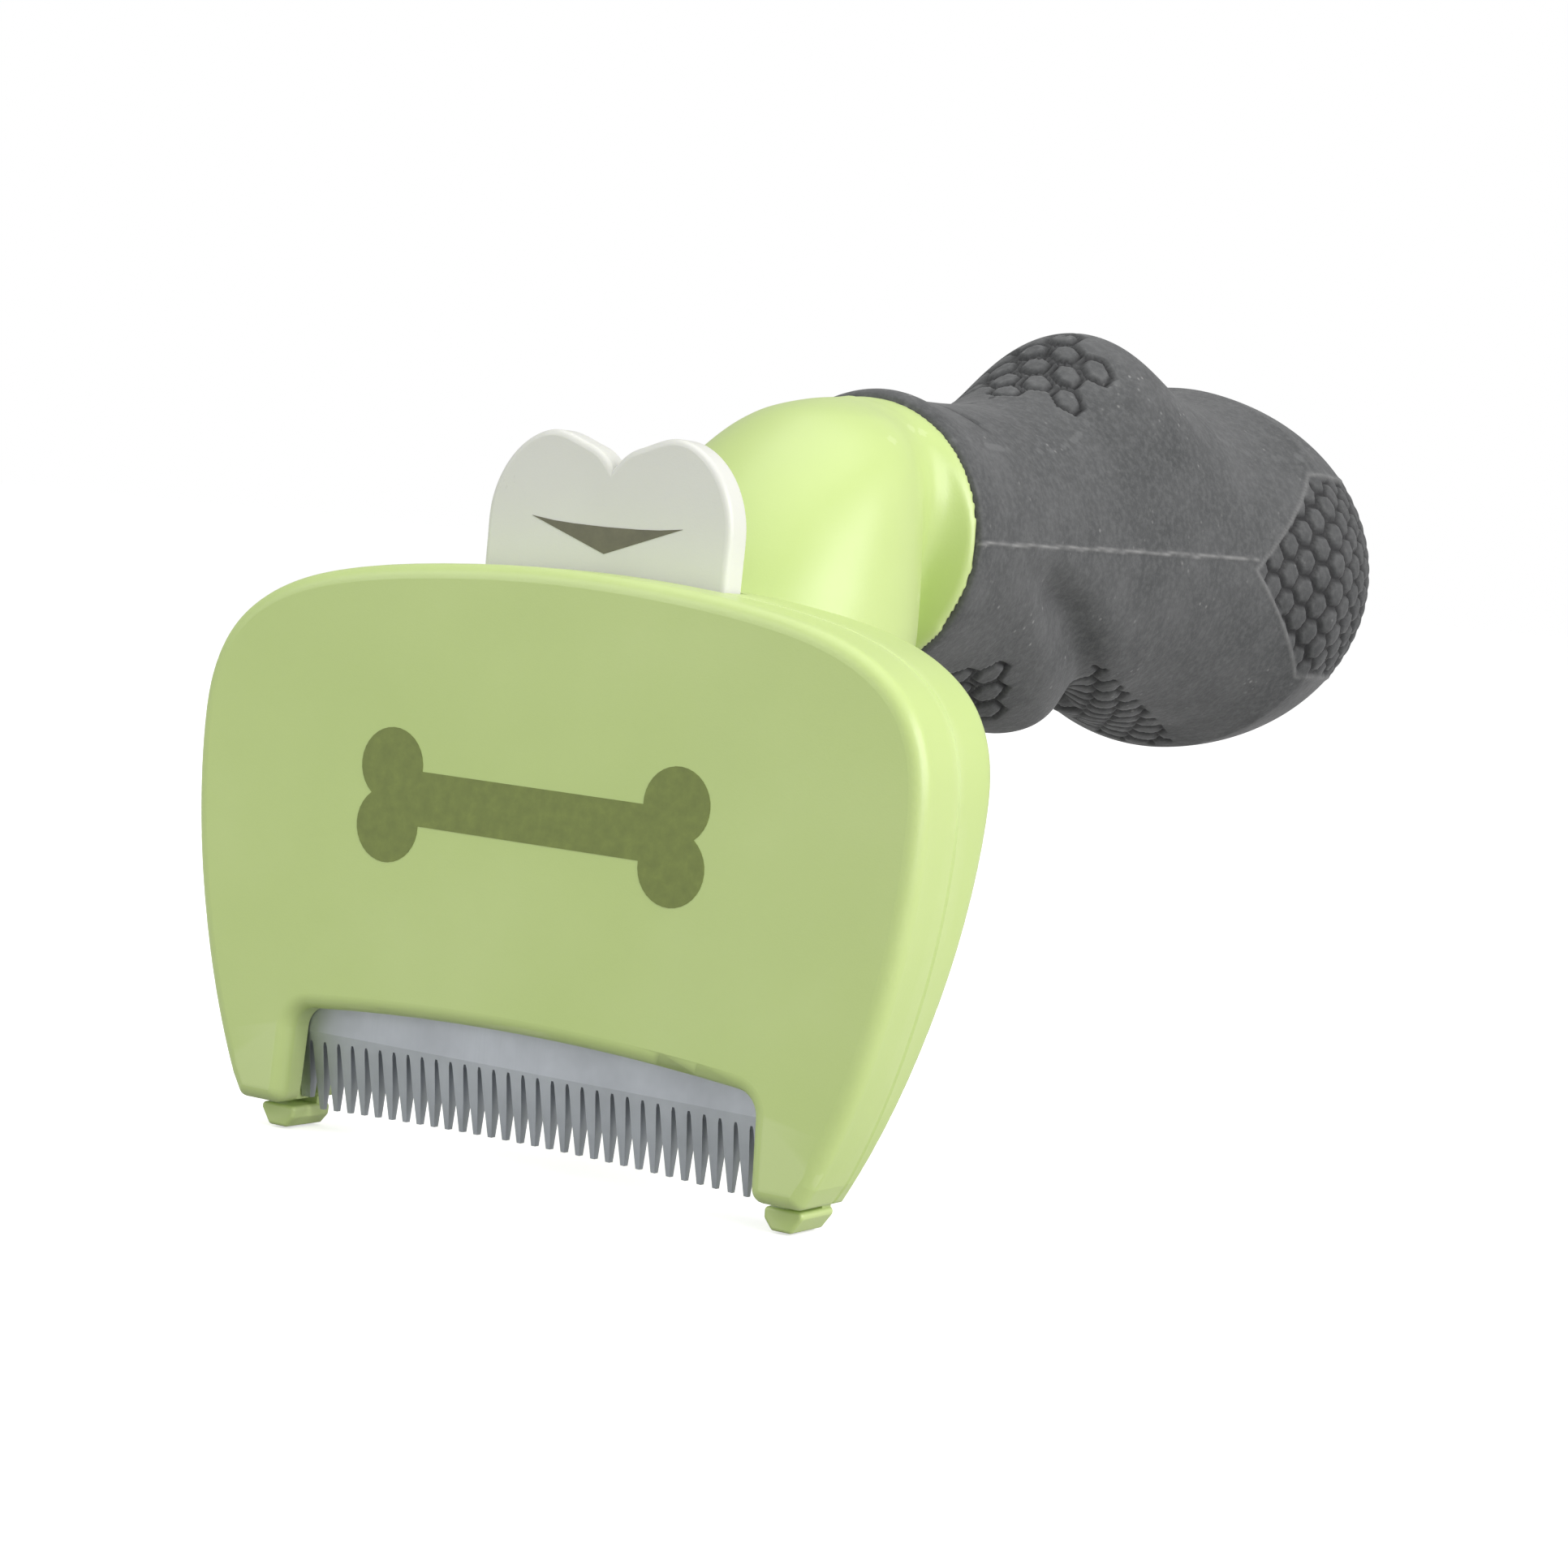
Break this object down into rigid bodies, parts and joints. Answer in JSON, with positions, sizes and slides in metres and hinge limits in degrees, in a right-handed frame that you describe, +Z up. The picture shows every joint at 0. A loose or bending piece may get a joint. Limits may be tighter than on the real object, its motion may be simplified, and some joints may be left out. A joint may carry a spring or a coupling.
{
  "type": "deshedding tool",
  "caption": "Hand deshedding tool: fine steel comb in a wedge-shaped two-shell head, push-button hair ejector with return springs, swept neck and rubber bulb handle.",
  "frame": {"origin": "middle of the flat front panel, on its surface", "axes": "+X across the comb to the right seen from the front, +Y back along the handle axis, +Z up with the comb teeth pointing down"},
  "size_m": [0.0702, 0.1426, 0.0773],
  "materials": {
    "green_plastic": "satin moulded plastic, light yellow-green",
    "grey_rubber": "matte overmoulded rubber with hexagon texture patches",
    "comb_steel": "satin stainless steel",
    "white_plastic": "satin white plastic",
    "spring_steel": "drawn wire",
    "screw_steel": "zinc plated"
  },
  "bodies": {
    "head": {"front_cover": "green_plastic", "rear_housing": "green_plastic", "comb_blade": "comb_steel", "blade_screws": "screw_steel", "handle_core": "green_plastic", "rubber_grip": "grey_rubber", "neck_screws": "screw_steel", "upper_cover_screws": "screw_steel", "lower_cover_screws": "screw_steel", "return_spring_left": "spring_steel", "return_spring_right": "spring_steel"},
    "ejector": {"ejector_button": "white_plastic", "ejector_frame": "white_plastic", "pusher_bar": "white_plastic", "pusher_pins": "white_plastic"}
  },
  "joints": [
    {"name": "eject", "type": "slide", "parent": "head", "child": "ejector", "axis": [0, 0, -1], "range_m": [0, 0.007], "stiffness_N_per_m": 150, "springref_m": -0.002, "deforming": ["return_spring_left", "return_spring_right"]}
  ]
}
